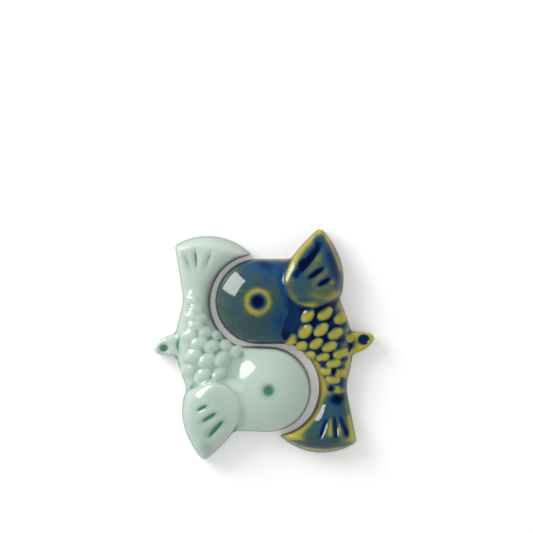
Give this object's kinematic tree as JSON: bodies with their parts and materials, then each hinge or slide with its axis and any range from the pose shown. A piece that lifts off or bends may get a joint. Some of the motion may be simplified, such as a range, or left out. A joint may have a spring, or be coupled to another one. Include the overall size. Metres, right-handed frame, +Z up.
{
  "type": "chopstick rest",
  "caption": "Pair of glazed ceramic fish-shaped chopstick rests from one mould, nested head to tail; chopsticks lie across the waist.",
  "frame": {"origin": "on the table, under the middle of the nested pair", "axes": "+Z up from the table, +Y from the head of the celadon rest towards the head of the blue rest, +X to the right seen from above"},
  "size_m": [0.0552, 0.058, 0.0103],
  "materials": {
    "blue_glaze": "glossy blue glaze that breaks to yellow on raised edges and scales",
    "celadon_glaze": "glossy pale celadon glaze that pools green in hollows"
  },
  "bodies": {
    "celadon_fish": {"celadon_rest": "celadon_glaze"},
    "blue_fish": {"blue_rest": "blue_glaze"}
  },
  "joints": [
    {"name": "blue_lift", "type": "slide", "parent": "celadon_fish", "child": "blue_fish", "axis": [0, 0, 1], "range_m": [0, 0.03]}
  ]
}
